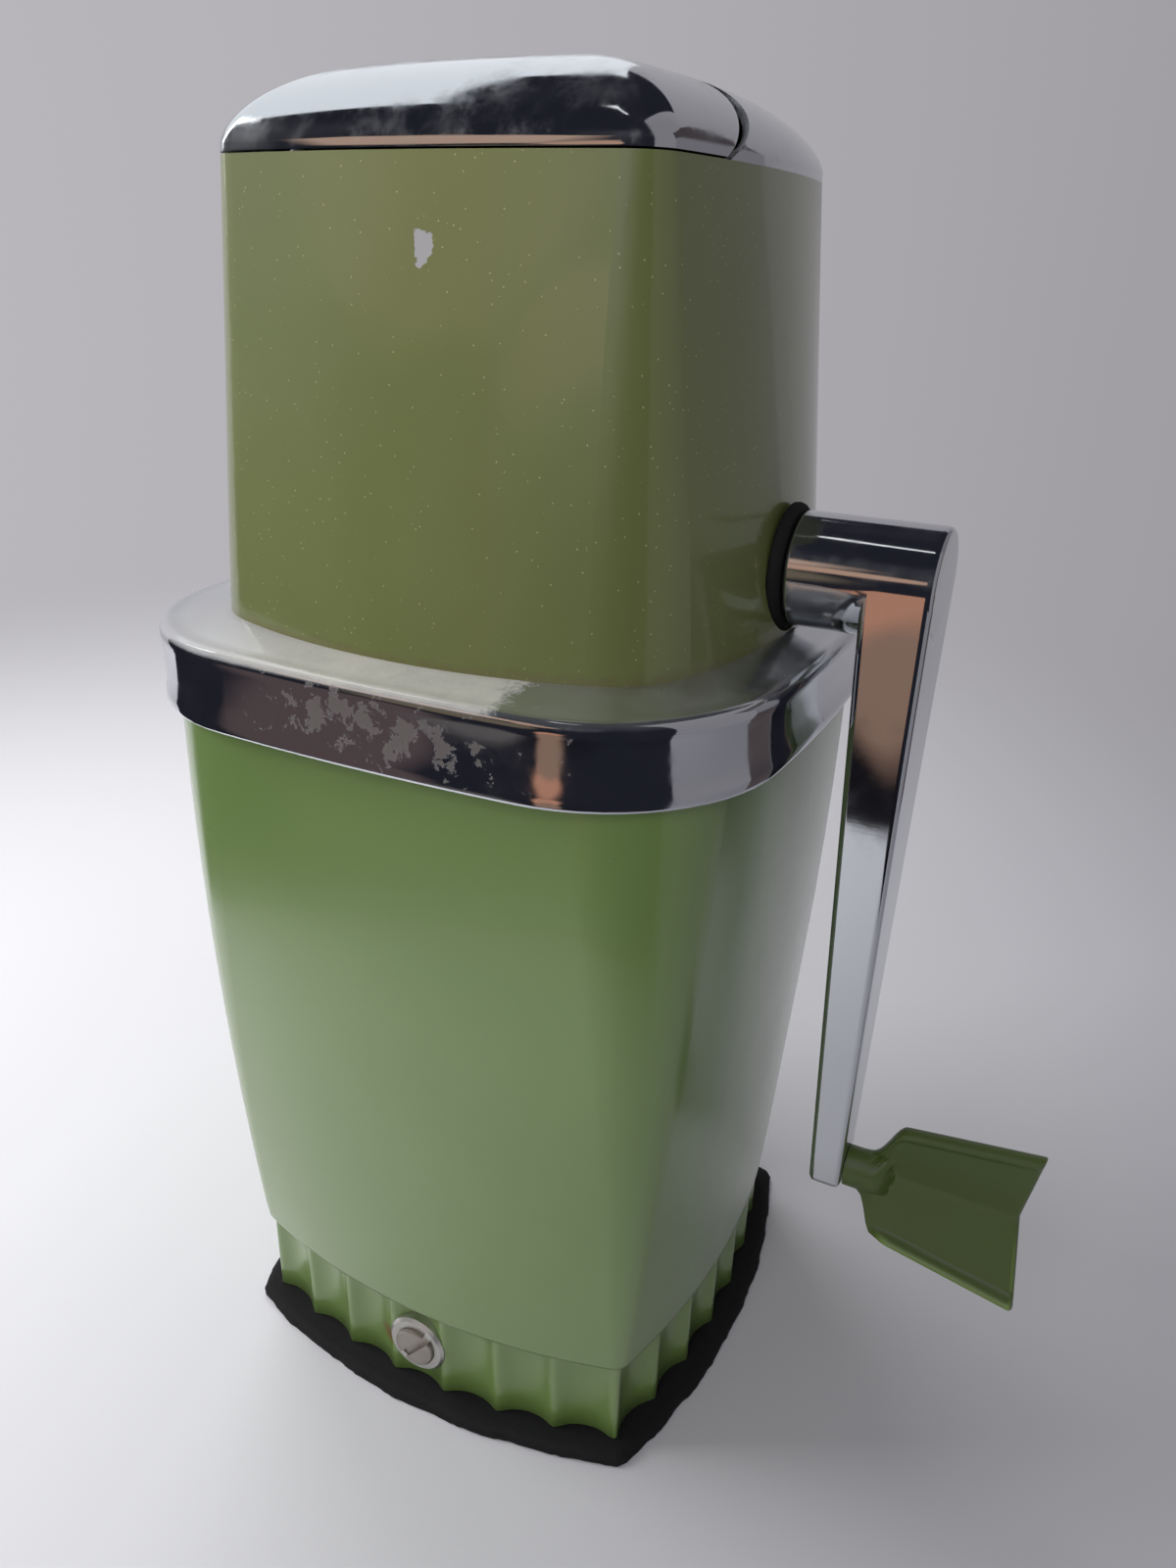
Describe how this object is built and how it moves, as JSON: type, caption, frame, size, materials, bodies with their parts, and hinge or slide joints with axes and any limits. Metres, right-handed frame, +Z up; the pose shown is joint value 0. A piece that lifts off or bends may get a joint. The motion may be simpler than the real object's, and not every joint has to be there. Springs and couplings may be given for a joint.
{
  "type": "hand crank ice crusher",
  "caption": "Hand crank ice crusher: domed lid, tapered housing over a collar, fluted receptacle on a suction foot, and a side crank with a bent paddle grip.",
  "frame": {"origin": "centre of the rubber foot's flat underside", "axes": "+Z up; +X towards the crank; -Y is the front, with the slotted stud"},
  "size_m": [0.1654, 0.1162, 0.2454],
  "materials": {
    "receptacle_plastic": "moulded, satin gloss",
    "housing_paint": "baked enamel paint, glossy",
    "grip_plastic": "moulded, glossy",
    "bright_plate": "bright plating, worn in places",
    "bright_ring": "bright plating",
    "foot_rubber": "moulded rubber, matt",
    "gasket_rubber": "rubber",
    "zinc_sheet": "zinc plated sheet",
    "frame_steel": "tinned sheet",
    "cam_steel": "turned steel",
    "screw_steel": "zinc plated",
    "bush_bronze": "sintered bronze",
    "comb_casting": "die cast",
    "wheel_casting": "tinned casting"
  },
  "bodies": {
    "base": {"lower_body": "receptacle_plastic", "suction_foot": "foot_rubber", "base_plate": "zinc_sheet", "base_plate_screws": "screw_steel", "cam_bushing": "bright_ring"},
    "cam": {"vacuum_cam_shaft": "cam_steel", "cam_shaft_clip": "screw_steel"},
    "stem": {"pull_stem": "cam_steel"},
    "head": {"upper_housing": "housing_paint", "collar_band": "bright_plate", "collar_screws": "screw_steel", "crusher_frame": "frame_steel", "feed_chute": "frame_steel", "comb_front": "comb_casting", "comb_rear": "comb_casting", "comb_screws": "screw_steel", "bush_crank_side": "bush_bronze", "bush_far_side": "bush_bronze", "shaft_gasket": "gasket_rubber", "rear_cap": "bright_plate", "rear_cap_screws": "screw_steel", "hinge_leaf_rear": "frame_steel", "hinge_pin": "screw_steel"},
    "rotor": {"drive_shaft": "cam_steel", "crusher_wheel_1": "wheel_casting", "crusher_wheel_2": "wheel_casting", "crusher_wheel_3": "wheel_casting", "crusher_wheel_4": "wheel_casting", "wheel_spacers": "cam_steel", "shaft_clip": "screw_steel", "crank_arm": "bright_plate", "crank_set_screw": "screw_steel", "grip_pin": "cam_steel"},
    "grip": {"grip_paddle": "grip_plastic"},
    "lid": {"front_lid": "bright_plate", "hinge_leaf_front": "frame_steel"}
  },
  "joints": [
    {"name": "head_lift", "type": "slide", "parent": "base", "child": "head", "axis": [0, 0, 1], "range_m": [0, 0.1]},
    {"name": "crank_turn", "type": "hinge", "parent": "head", "child": "rotor", "pos_m": [0, 0, 0.171], "axis": [1, 0, 0], "continuous": true},
    {"name": "grip_spin", "type": "hinge", "parent": "rotor", "child": "grip", "pos_m": [0.075, 0, 0.0525], "axis": [1, 0, 0], "continuous": true},
    {"name": "lid_open", "type": "hinge", "parent": "head", "child": "lid", "pos_m": [0, 0.0015, 0.2438], "axis": [-1, 0, 0], "range_deg": [0, 100]},
    {"name": "stud_turn", "type": "hinge", "parent": "base", "child": "cam", "pos_m": [0, 0, 0.0135], "axis": [0, -1, 0], "range_deg": [0, 90]},
    {"name": "stem_pull", "type": "slide", "parent": "base", "child": "stem", "axis": [0, 0, 1], "range_m": [0, 0.00256], "deforming": ["suction_foot"]}
  ],
  "couplings": [
    {"joint": "stem_pull", "follows": "stud_turn", "m_per_rad": 0.0016206}
  ]
}
